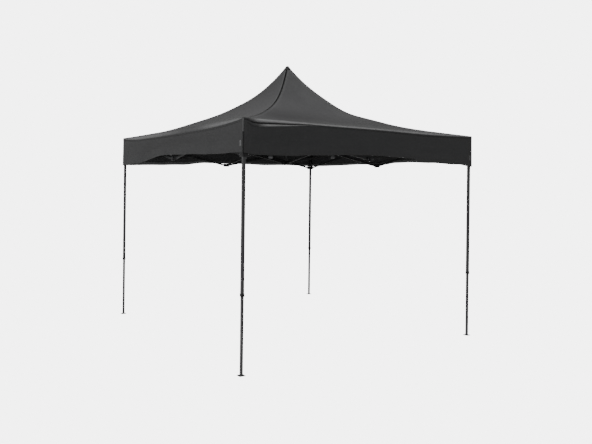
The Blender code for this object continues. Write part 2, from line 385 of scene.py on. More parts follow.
def cloth_material(name, dark, light, rows=None, painted_light_tint=None, shine=0.16):
    """Woven polyester with a dull coating. It has stitch rows across V at the places given,
    and is painted paler where the piece's mask of painted light says. Reads UV in metres."""
    material, g, shader = new_material(name)
    uv = g.add("ShaderNodeUVMap", uv_map="cloth").outputs[0]
    weave = g.use(WEAVE, Vector=uv, Pitch=0.0011)
    weather = g.use(WEATHER, Vector=uv, Size=1.7, Contrast=1.5)
    colour = g.mix(weather["Tone"], dark, light)
    colour = g.mix(g.times(weave["Thread"], 0.35), colour, tinted(light, 1.35))
    colour = g.mix(g.times(weather["Dust"], DUST_SHARE), colour, CLOTH_DUST)
    if painted_light_tint:
        painted_light = g.add("ShaderNodeAttribute", attribute_name="painted_light").outputs["Fac"]
        patchy = g.plus(g.times(weather["Tone"], 0.9), 0.45)
        # Painted highlights and painted light: the cloth goes towards a pale tint where the
        # mask says
        colour = g.mix(g.times(painted_light, patchy, clamp=True), colour, painted_light_tint)
    height = g.plus(g.times(weave["Height"], 0.00009), g.times(weave["Thread"], 0.00007))
    if rows:
        thread = g.use(STITCHES, Vector=uv, Row=rows[0], Other_row=rows[1])["Mask"]
        colour = g.mix(g.times(thread, 0.8), colour, tinted(light, 2.2))
        height = g.plus(height, g.times(thread, 0.0004))
    g.fill(shader, Base_Color=colour, Specular_IOR_Level=shine,
           Roughness=g.plus(g.times(weather["Tone"], 0.14), 0.5),
           Normal=g.bump(Strength=0.8, Height=height))
    return material


def coated_material(name, colour, rough, metal, wear, worn, peel=1500.0, depth=0.00003,
                    shine=0.5):
    """Powder coat, plastic or metal with fine grain, patchy gloss and scuffs."""
    material, g, shader = new_material(name)
    where = g.add("ShaderNodeTexCoord").outputs["Object"]
    weather = g.use(WEATHER, Vector=where, Size=7.0, Contrast=1.6)
    scuffs = g.use(SCUFFS, Vector=where, Amount=wear)["Mask"]
    tone = g.mix(weather["Tone"], tinted(colour, 0.8), tinted(colour, 1.25))
    tone = g.mix(scuffs, tone, worn)
    tone = g.mix(g.times(weather["Dust"], DUST_SHARE), tone, HARD_DUST)
    gloss = g.plus(g.times(weather["Tone"], 0.22), rough - 0.11)
    grain = g.times(g.noise(Vector=where, Scale=peel, Detail=2.0), depth)
    height = g.minus(grain, g.times(scuffs, 0.00002))
    g.fill(shader, Base_Color=tone, Metallic=metal, Specular_IOR_Level=shine,
           Roughness=g.plus(gloss, g.times(scuffs, 0.12)),
           Normal=g.bump(Strength=0.7, Height=height))
    return material


# The roof cloth's pale tint is painted highlight and painted light, laid on by its mask
ROOF_CLOTH = cloth_material(
    "roof cloth", (0.0145, 0.0145, 0.015), (0.0185, 0.0185, 0.019),
    painted_light_tint=(0.17, 0.17, 0.172), shine=0.05)
VALANCE_CLOTH = cloth_material(
    "valance cloth", (0.0118, 0.0118, 0.0122), (0.0155, 0.0155, 0.016))
HEM_CLOTH = cloth_material(
    "hem cloth", (0.0113, 0.0113, 0.0117), (0.0149, 0.0149, 0.0153), (0.0035, 0.0215))
# Paler inner face: a coated back, made paler still as painted light on the shaded inside
VALANCE_LINING_AND_LIGHT = cloth_material(
    "valance lining, partly painted light", (0.0185, 0.0186, 0.0192), (0.0235, 0.0236, 0.0243))
# Five times paler than the valance: painted light on the inner band of the hems
HEM_FOLD_LIT = cloth_material(
    "hem fold", (0.062, 0.0622, 0.064), (0.078, 0.0782, 0.08), (0.0035, 0.0215))
# Paler than the roof cloth: painted highlight on the raised welts of the seams
SEAM_WELT_HIGHLIGHT = cloth_material(
    "seam welt, painted highlight", (0.021, 0.021, 0.0215), (0.028, 0.028, 0.0285), (-0.0145, 0.0145))
# Near black: painted shade in the groove of the hip seams
SEAM_SHADE_TAPE = cloth_material(
    "seam tape, painted shade", (0.0016, 0.0016, 0.0017), (0.003, 0.003, 0.0031), (-0.009, 0.009),
    shine=0.03)
# Darker than the welt: painted shade on the lower part of the corner seams
CORNER_SEAM_SHADE = cloth_material(
    "corner seam, painted shade", (0.0068, 0.0068, 0.007), (0.009, 0.009, 0.0092), (-0.006, 0.006),
    shine=0.06)
# Pale: painted highlights on the small patches and on the ends of the tabs under the hems
PALE_PATCH_HIGHLIGHT = cloth_material(
    "strap patch", (0.04, 0.04, 0.041), (0.05, 0.05, 0.051), (0.004, 0.044))
LEG_PAINT = coated_material(
    "leg powder coat", (0.007, 0.0071, 0.0076), 0.45, 0.0, 0.22, (0.05, 0.05, 0.052))
BAR_PAINT = coated_material(
    "bar powder coat", (0.0045, 0.0046, 0.0049), 0.48, 0.0, 0.3, (0.026, 0.026, 0.027),
    shine=0.2)
NYLON = coated_material(
    "bracket nylon", (0.0034, 0.0034, 0.0037), 0.52, 0.0, 0.18, (0.016, 0.016, 0.016),
    900.0, 0.00005, shine=0.2)
ZINC = coated_material(
    "dark zinc plate", (0.11, 0.11, 0.114), 0.38, 1.0, 0.25, (0.1, 0.1, 0.095),
    700.0, 0.00002)
POLE_METAL = coated_material(
    "pole dark coat", (0.012, 0.012, 0.0125), 0.4, 0.0, 0.3, (0.05, 0.05, 0.05),
    500.0, 0.00001)


# ---- cloth roof ----

def bell(x, middle, width):
    return math.exp(-((x - middle) / width) ** 2 / 2)


def ease(x, start, end):
    t = min(1.0, max(0.0, (x - start) / (end - start)))
    return t * t * (3 - 2 * t)


def along_points(points, x):
    """Smooth line through (x, value) points."""
    for (x0, v0), (x1, v1) in zip(points, points[1:]):
        if x <= x1:
            return v0 + (v1 - v0) * ease(x, x0, x1)
    return points[-1][1]


PEAK_CURVE = 3.0


def roof_height(share):
    fall = math.exp(-PEAK_CURVE * share) - math.exp(-PEAK_CURVE) * share ** 3
    return EAVE_Z + (PEAK_Z - EAVE_Z) * fall


# Where the hips leave the even curve: height, share of the way down, spread
HIP_BUMPS = {"ne": ((0.01, 0.45, 0.15),),
             "se": ((-0.023, 0.34, 0.07), (-0.004, 0.7, 0.12)),
             "nw": ((0.031, 0.5, 0.13), (0.015, 0.29, 0.07))}


def hip_lift(corner, share):
    """How far one hip stands above the even curve, because the cloth is tied unevenly."""
    if corner == "sw":
        return 0.027 * math.sin(math.pi * share) ** 2 + 0.012 * share ** 3
    return sum(height * bell(share, middle, width)
               for height, middle, width in HIP_BUMPS[corner])


def cloth_lift(k, across, share):
    """Lift of the cloth of side k, spread from its two hips."""
    return (hip_lift(CORNERS[k], share) * ((1 + across) / 2) ** 1.5
            + hip_lift(CORNERS[k - 1], share) * ((1 - across) / 2) ** 1.5)


# Ripples of the stretched cloth: waves in a metre, layer of the noise, height
RIPPLES = ((1.9, 3.1, 0.0035), (6.3, 7.7, 0.0012))


def ripple(x, y):
    """Slight unevenness of the stretched cloth, the same on both sides of a seam."""
    share = max(abs(x), abs(y)) / CLOTH_HALF
    calm = min(1.0, share / 0.25) * max(0.0, min(1.0, (1.0 - share) / 0.06 + 0.12))
    return calm * sum(height * noise.noise(Vector((x * rate, y * rate, layer)))
                      for rate, layer, height in RIPPLES)


# The loose edge of the roof past the eave: the sag of each side's middle, and the edge's
# depth, lip and inset. It turns down in ROUND_STEPS rows. The rows below are given as
# (share of depth, share of the tuck inwards, share of the bulge outwards)
SOUTH, WEST = 2, 3
EDGE_SAG = (0.018, 0.022, 0.004, 0.048)
SAG_OUT = 0.36
EDGE_DEPTH = 0.014
EDGE_LIP = 0.006
EDGE_INSET = 0.0035
ROUND_STEPS = 4
EDGE_STEPS = ((0.12, 0.05, 0.0), (0.32, 0.3, 0.0), (0.52, 1.0, 0.0), (0.7, 1.0, 0.0),
              (0.86, 0.2, 0.6), (1.12, 0.0, 1.0), (1.42, 0.0, 0.5))
# The tuck under the south edge: how far it goes out, down and in, and its bulge
TUCK_OUT = 0.006
TUCK_DOWN = 0.005
TUCK_IN = 0.014
TUCK_BULGE = 0.003


def edge_row(step, k, across):
    """Outward and downward shift of a row of the rolled edge."""
    sag = EDGE_SAG[k] * (1 - across ** 4)
    depth = EDGE_DEPTH
    tuck = 0.0
    if k == SOUTH:
        place = (1 - across) / 2
        start = ease(place, 0.0, 0.045)
        tuck = start * (1 - ease(place, 0.13, 0.3))
        depth += start * max(0.0, 0.0385 - 0.17 * place)
        sag += 0.009 * bell(place, 0.76, 0.12) * (1 - across ** 8)
    out = EDGE_LIP + SAG_OUT * sag + TUCK_OUT * tuck
    roll = EDGE_LIP + sag + TUCK_DOWN * tuck
    if step <= ROUND_STEPS:
        a = math.radians(90 / ROUND_STEPS * step)
        return out * math.sin(a) - EDGE_INSET, -roll * (1 - math.cos(a))
    share, inward, outward = EDGE_STEPS[step - ROUND_STEPS - 1]
    shift = out - EDGE_INSET - TUCK_IN * tuck * inward + TUCK_BULGE * tuck * outward
    return shift, -(roll + share * depth)


CORNER_ROUND = 0.02
ROOF_BOW = 0.12
LAST_EDGE_STEP = ROUND_STEPS + len(EDGE_STEPS)
EAVE_ROW = 44
ROOF_SHARES = [0.016 + 0.984 * (i / EAVE_ROW) ** 1.25 for i in range(EAVE_ROW + 1)]
ROOF_ROWS = EAVE_ROW + 1 + LAST_EDGE_STEP
# Row of the loose edge at which the hip seams end and the corner seams start
SEAM_ROW = EAVE_ROW + 3


def row_share(row):
    """Share of the way from the peak to the eave at a row of the roof."""
    return ROOF_SHARES[min(row, EAVE_ROW)]


def rounded(across, half, radius):
    """Place on a square ring of the given half width whose corners are rounded."""
    x = across * half
    over = abs(x) - (half - radius)
    if over <= 0 or radius < 1e-6:
        return x, half
    a = math.pi / 4 * over / radius
    middle = half - radius
    return math.copysign(middle + radius * math.sin(a), x), middle + radius * math.cos(a)


def roof_point(row, across, k):
    """Point of the roof cloth on side k, across from -1 to 1 between its hips."""
    share = row_share(row)
    lift = cloth_lift(k, across, share)
    if row < EAVE_ROW:
        x, y = rounded(across, share * CLOTH_HALF, CORNER_ROUND * ease(share, 0.93, 1.0))
        bow = ROOF_BOW * share * (1 - share) * (1 - across * across)
        p = Vector((x, y - bow, roof_height(share) + lift))
    else:
        out, fall = edge_row(row - EAVE_ROW, k, across)
        x, y = rounded(across, CLOTH_HALF + out, CORNER_ROUND)
        p = Vector((x, y, EAVE_Z + fall + lift))
    p = side_turn(k) @ p
    p.z += ripple(p.x, p.y)
    return p


def roof_normal(row, across, k):
    """Outward direction of the whole cloth at one of its points."""
    above, below = max(row - 1, 0), min(row + 1, ROOF_ROWS - 1)
    left, right = max(across - 0.01, -1.0), min(across + 0.01, 1.0)
    slope = roof_point(below, across, k) - roof_point(above, across, k)
    level = roof_point(row, right, k) - roof_point(row, left, k)
    return level.cross(slope).normalized()


# Painted light on the upper part of each side, made paler where the lamps leave it darker, and
# painted highlights on the edge's rows from the one above the eave
PAINTED_UPPER_LIGHT = (0.05, 0.06, 0.15, 0.054)
SOUTH_EDGE_HIGHLIGHT = (0.05, 0.1, 0.25, 0.5, 0.75, 0.9, 1.0, 0.7, 0.0, 0.0, 0.4, 0.6, 0.15)
EDGE_HIGHLIGHT = (0.0, 0.04, 0.09, 0.22, 0.38, 0.25, 0.08, 0.0, 0.0, 0.0, 0.0, 0.0, 0.0)
TUCK_STEP = 7


def roof_painted_light(row, across, k):
    """Share of painted light: paler near the peak, painted highlights next to the hip seams and
    on the folds of the edge.
    """
    step = row - EAVE_ROW
    share = row_share(row)
    gap = (1 - abs(across)) * share * CLOTH_HALF
    # A painted highlight along each side of a hip seam
    beside = 0.09 * bell(gap, 0.018, 0.016) if step < 0 else 0.0
    if step < -1:
        return beside + PAINTED_UPPER_LIGHT[k] * (1 - ease(share, 0.25, 0.72))
    place = (1 - across) / 2
    fold = (SOUTH_EDGE_HIGHLIGHT if k == SOUTH else EDGE_HIGHLIGHT)[step + 1]
    if k == SOUTH and step >= TUCK_STEP:
        fold *= ease(place, 0.045, 0.09) * (1 - ease(place, 0.13, 0.3))
    elif k == SOUTH:
        near = ease(place, 0.016, 0.065)
        fold *= near * (1 - 0.7 * ease(place, 0.3, 0.5) * ease(step, 3, 5))
    elif k == WEST:
        fold *= 1 - 0.75 * bell(place, 0.63, 0.12)
    return max(beside, fold * ease(abs(across), 1.0, 0.95))


def lengths_along(points):
    """Way from the first of the points to each of them."""
    lengths = [0.0]
    for one, other in zip(points, points[1:]):
        lengths.append(lengths[-1] + (other - one).length)
    return lengths


def spread(start, end, count):
    return [start + (end - start) * i / count for i in range(count + 1)]


SLANT = lengths_along([roof_point(row, 0.0, 0) for row in range(ROOF_ROWS)])


def sheet_mesh(name, grid, uv_grid, material):
    """Cloth piece from rows of points, with its UV in metres."""
    cols = len(grid[0])
    points = [tuple(p) for line in grid for p in line]
    starts = [r * cols + c for r in range(len(grid) - 1) for c in range(cols - 1)]
    faces = [(a, a + 1, a + cols + 1, a + cols) for a in starts]
    mesh = bpy.data.meshes.new(name)
    mesh.from_pydata(points, [], faces)
    layer = mesh.uv_layers.new(name="cloth")
    flat = [uv for line in uv_grid for uv in line]
    for loop in mesh.loops:
        layer.data[loop.index].uv = flat[loop.vertex_index]
    mesh.update()
    return paint(add_object(name, mesh), material)


def thicken(obj, thickness, normals=None, lining=None):
    """Gives a sheet its thickness inwards, and its inner face a lining if one is given. The
    normals are those of the whole cloth, so that neighbouring strips shade as one surface."""
    count = len(obj.data.vertices)
    if lining:
        obj.data.materials.append(lining)
    solidify(obj, thickness, material_offset=1 if lining else 0)
    smooth(obj, 40)
    if normals is None:
        return
    mesh = obj.data
    both = normals + [-normal for normal in normals]
    custom = [Vector((0, 0, 0))] * len(mesh.loops)
    for face in mesh.polygons:
        places = [mesh.loops[i].vertex_index for i in face.loop_indices]
        if max(places) < count or min(places) >= count:
            for i, v in zip(face.loop_indices, places):
                custom[i] = both[v]
    mesh.normals_split_custom_set(custom)


# Sets how the strips narrow outwards, in the spacing of their edges
ASKEW_ROUND = 1.05


def fold_roof_piece(obj, across, k):
    """Lets a strip of the roof ride on the peak pole, with a mesh of its own."""
    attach(obj, "peak_pole")
    out, fall = edge_row(LAST_EDGE_STEP, k, across)
    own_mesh(obj)


STRIPS = 12
STRIP_CELL = 0.055
EDGE_TRIALS = 400
EVEN_SHARE = 0.36


def strip_edges():
    """Edges of the strips of half a side: narrower outwards."""
    steps = [i / EDGE_TRIALS for i in range(EDGE_TRIALS + 1)]
    sums = [0.5 * math.log(1 + a * a / ASKEW_ROUND) + EVEN_SHARE * a for a in steps]
    edges = []
    for i in range(STRIPS + 1):
        wanted = sums[-1] * i / STRIPS
        nearest = min(range(len(steps)), key=lambda n: abs(sums[n] - wanted))
        edges.append(steps[nearest])
    return edges


EDGES = strip_edges()

# Thickness of the roof's cloth, of a seam's tape and of the cap over the peak
ROOF_THICK = 0.001
SEAM_THICK = 0.0006
CAP_THICK = 0.0009
# Shift of the weave from side to side
UV_STEP = 0.37


def make_roof():
    bounds = [-e for e in EDGES[:0:-1]] + EDGES
    for k, side in enumerate(SIDES):
        for n, (left, right) in enumerate(zip(bounds, bounds[1:])):
            width = (right - left) * CLOTH_HALF
            places = spread(left, right, max(2, math.ceil(width / STRIP_CELL)))
            rows = range(ROOF_ROWS)
            grid = [[roof_point(row, across, k) for across in places] for row in rows]
            uvs = [[(across * (CLOTH_HALF * row_share(row)) + UV_STEP * k, SLANT[row])
                    for across in places] for row in rows]
            spots = [(row, across, k) for row in rows for across in places]
            strip = sheet_mesh(f"roof_cloth_{side}_{n + 1:02d}", grid, uvs, ROOF_CLOTH)
            # Mask of painted highlights and painted light, read by the roof cloth
            painted_light = strip.data.attributes.new("painted_light", "FLOAT", "POINT")
            painted_light.data.foreach_set("value", [roof_painted_light(*spot) for spot in spots])
            thicken(strip, ROOF_THICK, [roof_normal(*spot) for spot in spots])
            if n == 0:
                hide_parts(f"roof_{side}")
            fold_roof_piece(strip, (left + right) / 2, k)


def mirrored(half, middle):
    """Section of a seam from (offset, height) points of one half and its middle's height."""
    return [(-offset, height) for offset, height in half] + [(0.0, middle), *half[::-1]]


HIP_SECTION = mirrored(((0.019, 0.0001), (0.0176, 0.001), (0.015, 0.002),
                        (0.0122, 0.0018), (0.0108, 0.0007), (0.0045, 0.0005)), 0.0005)
WELT_COLS = 3
SEAM_CLEAR = 0.0004


def make_hip_seams():
    """Seams down the four hips: a near-black tape sunk between two sewn welts. The tape's
    darkness is painted shade of the groove, and the welts' paler colour a painted highlight.
    """
    cols = len(HIP_SECTION) - 1
    for k, corner in enumerate(CORNERS):
        after = (k + 1) % 4
        grid = []
        uvs = []
        for row in range(SEAM_ROW):
            y = CLOTH_HALF * row_share(row)
            line = []
            for offset, height in HIP_SECTION:
                inset = min(abs(offset) / max(y, 0.05), 0.9)
                across, side = (-1 + inset, after) if offset > 0 else (1 - inset, k)
                away = roof_normal(row, across, side)
                if offset == 0:
                    away = (away + roof_normal(row, -1.0, after)) * 0.8
                line.append(roof_point(row, across, side) + away * (height + SEAM_CLEAR))
            grid.append(line)
            uvs.append([(SLANT[row], offset) for offset, height in HIP_SECTION])
        seam = sheet_mesh(f"hip_seam_{corner}", grid, uvs, SEAM_WELT_HIGHLIGHT)
        paint_where(seam, SEAM_SHADE_TAPE,
                    lambda face: WELT_COLS <= face.index % cols < cols - WELT_COLS)
        thicken(seam, SEAM_THICK)
        fold_roof_piece(seam, 1.0, k)


# Rows of the cap by the share of the way down the roof. Inside CAP_FLAT it is nearly flat
CAP_SHARES = (0.0004, 0.0022, 0.0042, 0.0065, 0.009, 0.012, 0.016, 0.02, 0.024)
CAP_FLAT = 0.006
CAP_COLS = 6


def make_peak_patch():
    """Square cap sewn over the point where the four sides meet."""
    grid = []
    for share in CAP_SHARES:
        line = []
        height = roof_height(max(share, CAP_FLAT)) + 0.5 * max(0.0, CAP_FLAT - share)
        for k in range(4):
            for across in spread(-1, 1, CAP_COLS)[:-1]:
                x, y = rounded(across, share * CLOTH_HALF + 0.0026, 0.5 * share)
                line.append(at_side(k, x, y, height + 0.0016))
        line.append(line[0].copy())
        grid.append(line)
    uvs = [[(0.006 * c, 1.5 * share) for c in range(4 * CAP_COLS + 1)] for share in CAP_SHARES]
    patch = sheet_mesh("peak_patch", grid, uvs, ROOF_CLOTH)
    edit(patch)
    merge(0.00002)
    choose("DESELECT")
    bpy.ops.mesh.select_mode(type="VERT")
    work = bmesh.from_edit_mesh(patch.data)
    top = max(vert.co.z for vert in work.verts)
    for vert in work.verts:
        vert.select_set(vert.co.z > top - 0.00001)
    work.select_flush(True)
    bpy.ops.mesh.edge_face_add()
    leave(patch)
    thicken(patch, CAP_THICK)
    dress(patch, "peak_pole")


# ---- valance ----

# Height of each hem by the share of the way along its side, clockwise seen from above
HEMS = (
    ((0.0, 1.888), (0.16, 1.901), (0.27, 1.912), (0.4, 1.948), (0.61, 1.951), (0.7, 1.943),
     (0.86, 1.955), (1.0, 1.95)),
    ((0.0, 1.95), (0.12, 1.946), (0.25, 1.947), (0.36, 1.953), (0.42, 1.95), (0.475, 1.936),
     (0.53, 1.94), (0.6, 1.958), (0.68, 1.96), (0.8, 1.944), (0.93, 1.918), (1.0, 1.89)),
    ((0.0, 1.89), (0.09, 1.914), (0.265, 1.917), (0.325, 1.95), (0.5, 1.963), (0.6, 1.957),
     (0.76, 1.938), (0.82, 1.925), (0.955, 1.924), (1.0, 1.937)),
    ((0.0, 1.937), (0.04, 1.943), (0.12, 1.941), (0.21, 1.945), (0.38, 1.961), (0.555, 1.972),
     (0.83, 1.903), (1.0, 1.888)),
)
CORNER_OUT = 0.0009
VALANCE_OVERLAP = 0.011
VALANCE_DROP = 0.28
VALANCE_THICK = 0.0009

# Trims: span along the side, span down the drop, points down and along, how far they stand
# proud, cloth and thickness
TRIMS = (
    ("valance_hem", (-1, 1), (0.915, 1.004), (4, 150), 0.0011, HEM_CLOTH, 0.0011),
    # The inner band of the hem is pale as painted light
    ("hem_fold", (-0.998, 0.998), (0.885, 1.0), (4, 150), -0.0011, HEM_FOLD_LIT, 0.0008),
    ("strap_patch", (-0.981, -0.965), (0.62, 0.8), (6, 4), 0.0016, PALE_PATCH_HIGHLIGHT, 0.0012),
)
# Webbing tabs under the hems: place across the side, and share of the drop where they end
# The tabs' pale ends are painted highlights
TIE_TABS = ((), (), ((0.81, 1.115), (0.337, 1.125)), ((0.0, 1.04),))
TAB_HALF = 0.0145
TAB_TOP = 0.955
TAB_END = 0.014


def hem_height(across, k):
    wave = noise.noise(Vector((across * 6.1, 11.3 * k, 0.4)))
    return along_points(HEMS[k], (1 + across) / 2) + 0.0015 * wave * (1 - across ** 8)


def valance_billow(across, down, k):
    """How far the valance hangs out of its flat place, more towards the hem."""
    calm = 1 - across ** 10
    wave = noise.noise(Vector((across * 3.3, 5.0 * k, down * 0.8)))
    fine = noise.noise(Vector((across * 9.5 + down * 1.2, 5.0 * k + 2.2, down * 1.6)))
    crease = noise.noise(Vector((across * 4.0 - down * 1.5, 5.0 * k + 7.1, down * 5.0)))
    fall = math.sin(math.pi * min(1.0, down * 1.1) / 2)
    return calm * max(0.0, fall * (0.007 * (0.5 + wave) + 0.0026 * (0.5 + fine))
                      + 0.0016 * crease * math.sin(math.pi * down))


def valance_point(across, down, k, proud=0.0):
    """Point at a share down from the roof's edge to the hem."""
    out, fall = edge_row(LAST_EDGE_STEP, k, across)
    top = EAVE_Z + fall + VALANCE_OVERLAP + cloth_lift(k, across, 1.0)
    z = top + (hem_height(across, k) - top) * down
    upright = ease(down, 0.0, 0.7)
    base = (out - 0.0016) * (1 - upright) + CORNER_OUT * upright
    radius = CORNER_ROUND * (1 - 0.5 * down)
    x, y = rounded(across, CLOTH_HALF + CORNER_OUT + proud, radius)
    y += base - CORNER_OUT + valance_billow(across, down, k)
    return at_side(k, x, y, z)


def fold_valance_piece(obj, side):
    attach(obj, f"mid_bracket_top_{side}")
    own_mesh(obj)


def valance_piece(name, k, span, depth, counts, proud, material, thickness, lining=None):
    """Part of a valance between two places along it and two shares down it."""
    downs = spread(*depth, counts[0])
    places = spread(*span, counts[1])
    grid = [[valance_point(across, down, k, proud) for across in places] for down in downs]
    uvs = [[((across - span[0]) * CLOTH_HALF, (down - depth[0]) * VALANCE_DROP)
            for across in places] for down in downs]
    piece = sheet_mesh(name, grid, uvs, material)
    thicken(piece, thickness, lining=lining)
    fold_valance_piece(piece, SIDES[k])
    return piece, grid


def make_valances():
    for k, side in enumerate(SIDES):
        band, grid = valance_piece(f"valance_cloth_{side}", k, (-1, 1), (0, 1), (16, 150), 0.0,
                                   VALANCE_CLOTH, VALANCE_THICK, VALANCE_LINING_AND_LIGHT)
        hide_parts(f"valance_{side}")
        trim = [valance_piece(f"{name}_{side}", k, *shape)[0] for name, *shape in TRIMS]
        for n, (middle, low) in enumerate(TIE_TABS[k]):
            span = (middle - TAB_HALF, middle + TAB_HALF)
            tab = valance_piece(f"tie_tab_{side}_{n + 1}", k, span, (TAB_TOP, low), (8, 6),
                                -0.0021, VALANCE_CLOTH, 0.001)[0]
            # The tab's lowest part is pale, as a painted highlight
            edge = min(face.center.z for face in tab.data.polygons) + TAB_END
            paint_where(tab, PALE_PATCH_HIGHLIGHT, lambda face: face.center.z < edge)
            trim.append(tab)


CORNER_SECTION = mirrored(((0.009, 0.0006), (0.0082, 0.0012), (0.0045, 0.0014),
                           (0.002, 0.0026)), 0.0028)
CORNER_MIDDLE = 4
CORNER_ROWS = 18
# Height below which the corner seams are darkened as painted shade
CORNER_SHADE_TOP = 2.118


def corner_seam_point(row, offset, height, k):
    """Over the roof's edge first, then down the valance."""
    across, side = 1 + offset / CLOTH_HALF, k
    if offset > 0:
        across, side = offset / CLOTH_HALF - 1, (k + 1) % 4
    if row < ROOF_ROWS:
        return roof_point(row, across, side) + roof_normal(row, across, side) * height
    down = 0.09 + 0.916 * (row - ROOF_ROWS) / (CORNER_ROWS - 1)
    return valance_point(across, down, side, height)


def make_corner_seams():
    """Upright seams where two valances meet, standing out as a narrow ridge. Their welt colour
    is a painted highlight, and below a set height they are darkened as painted shade.
    """
    for k, corner in enumerate(CORNERS):
        grid = [[corner_seam_point(row, offset, height, k) for offset, height in CORNER_SECTION]
                for row in range(SEAM_ROW, ROOF_ROWS + CORNER_ROWS)]
        drops = lengths_along([line[CORNER_MIDDLE] for line in grid])
        uvs = [[(length, offset) for offset, height in CORNER_SECTION] for length in drops]
        seam = sheet_mesh(f"corner_seam_{corner}", grid, uvs, SEAM_WELT_HIGHLIGHT)
        paint_where(seam, CORNER_SEAM_SHADE, lambda face: face.center.z < CORNER_SHADE_TOP)
        thicken(seam, SEAM_THICK)
        dress(seam, f"leg_{corner}")
        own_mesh(seam)


# ---- hard pieces ----

# Rounding of the edges of bars, mouldings and tubes
BAR_EDGE = 0.0014
MOULDING_EDGE = 0.0009
TUBE_EDGE = 0.0005


def plain_copy(node, name):
    """Copy of a CAD node's own solid, without doubled points and needless edges."""
    piece = add_object(name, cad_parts[node].data.copy())
    edit(piece)
    merge(0.00001)
    bpy.ops.mesh.dissolve_limited(angle_limit=math.radians(1.0))
    leave(piece)
    return piece


def fine_copy(node, name, material, width, body, segments=2):
    """Rounded-edge piece made from a CAD node's own solid, in its place."""
    piece = bevel(plain_copy(node, name), width, segments, 50)
    paint(smooth(piece, 32), material)
    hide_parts(node)
    dress(piece, body)


def make_bars():
    for side in SIDES:
        names = [f"cross_bar_falling_{side}", f"cross_bar_rising_{side}"]
        for hand in ("cw", "ccw"):
            names += [f"side_bar_outer_{side}_{hand}", f"side_bar_inner_{side}_{hand}"]
        for name in names:
            fine_copy(name, name + "_tube", BAR_PAINT, BAR_EDGE, name)


def make_brackets():
    """Mouldings of the brackets and hubs."""
    def moulding(node, name, body):
        fine_copy(node, name, NYLON, MOULDING_EDGE, body)

    for side in SIDES:
        for name in (f"mid_bracket_top_{side}", f"mid_bracket_bottom_{side}"):
            moulding(name, name + "_moulding", name)
    for corner in CORNERS:
        moulding(f"leg_top_bracket_{corner}", f"leg_top_moulding_{corner}", f"leg_{corner}")
        moulding(f"slider_bracket_{corner}", f"slider_moulding_{corner}", f"slider_{corner}")
    for name in ("centre_hub_top", "centre_hub_bottom"):
        moulding(name, name + "_moulding", name)


def rivet_head():
    """Low domed head with a small flat crown, standing on Z = 0."""
    head = cylinder(20, 0.0058, 0.0016, (0, 0, 0.0008))
    work_faces(head, is_top, (0.0009, 0.0006), (0.0012, 0.0005), (0.0016, 0.0002))
    return paint(smooth(head, 50), ZINC)


def lock_nut():
    """Six-sided nut with a rounded collar, standing on Z = 0."""
    nut = cylinder(6, 0.0055, 0.0022, (0, 0, 0.0011))
    work_faces(nut, is_top, (0.0012, 0.0), (0.0008,), (0.0009, -0.0004))
    return paint(smooth(bevel(nut, 0.0003, 1, 30), 35), ZINC)


def facing(point, direction):
    """Matrix that stands a small piece on a point, its +Z along a direction."""
    turn = Vector((0, 0, 1)).rotation_difference(direction).to_matrix().to_4x4()
    return Matrix.Translation(point) @ turn


def add_bolts():
    """Head and nut of every pin, and the rivets where two bars cross."""
    head = rivet_head()
    nut = lock_nut()
    bars = LAYER + BAR_T / 2

    def pair(point, across, front=CHEEK_FACE, back=CHEEK_BACK):
        """Head at one distance along a pin, and nut at the other the opposite way."""
        return [copy_piece(head, "head", facing(point + across * front, across)),
                copy_piece(nut, "nut", facing(point - across * back, -across))]

    def fasten(name, parts, body):
        dress(join(name, parts), body)

    level = (Z_TOP + Z_LOW) / 2
    side_cross = (O_MID + HALF - O_LEG) / 2
    hub_cross = (O_HUB + HALF - O_MID) / 2
    for k, side in enumerate(SIDES):
        out, along = at_side(k, 0, 1, 0), at_side(k, 1, 0, 0)
        for row, z, layer in (("top", Z_TOP, 1), ("bottom", Z_LOW, -1)):
            parts = pair(at_side(k, O_MID, HALF, z), out * layer)
            parts += pair(at_side(k, -O_MID, HALF, z), out * layer)
            parts += pair(at_side(k, 0, HALF - O_MID, z), along * layer)
            fasten(f"mid_{row}_bolts_{side}", parts, f"mid_bracket_{row}_{side}")
        for hand, x in (("cw", side_cross), ("ccw", -side_cross)):
            parts = pair(at_side(k, x, HALF, level), out, bars, bars)
            fasten(f"side_rivet_{side}_{hand}", parts, f"side_bar_inner_{side}_{hand}")
        parts = pair(at_side(k, 0, hub_cross, level), along, bars, bars)
        fasten(f"cross_rivet_{side}", parts, f"cross_bar_falling_{side}")
    for k, corner in enumerate(CORNERS):
        out, along = at_side(k, 0, 1, 0), at_side(k, 1, 0, 0)
        for name, body, z, layer in (("leg_top", "leg", Z_TOP, -1),
                                     ("slider", "slider", Z_LOW, 1)):
            parts = pair(at_side(k, HALF - O_LEG, HALF, z), out * layer)
            parts += pair(at_side(k, HALF, HALF - O_LEG, z), along * layer)
            fasten(f"{name}_bolts_{corner}", parts, f"{body}_{corner}")
    for name, z, layer in (("centre_hub_top", Z_TOP, -1), ("centre_hub_bottom", Z_LOW, 1)):
        parts = []
        for k in range(4):
            parts += pair(at_side(k, 0, O_HUB, z), at_side(k, 1, 0, 0) * layer)
        fasten(name + "_bolts", parts, name)
    drop(head)
    drop(nut)


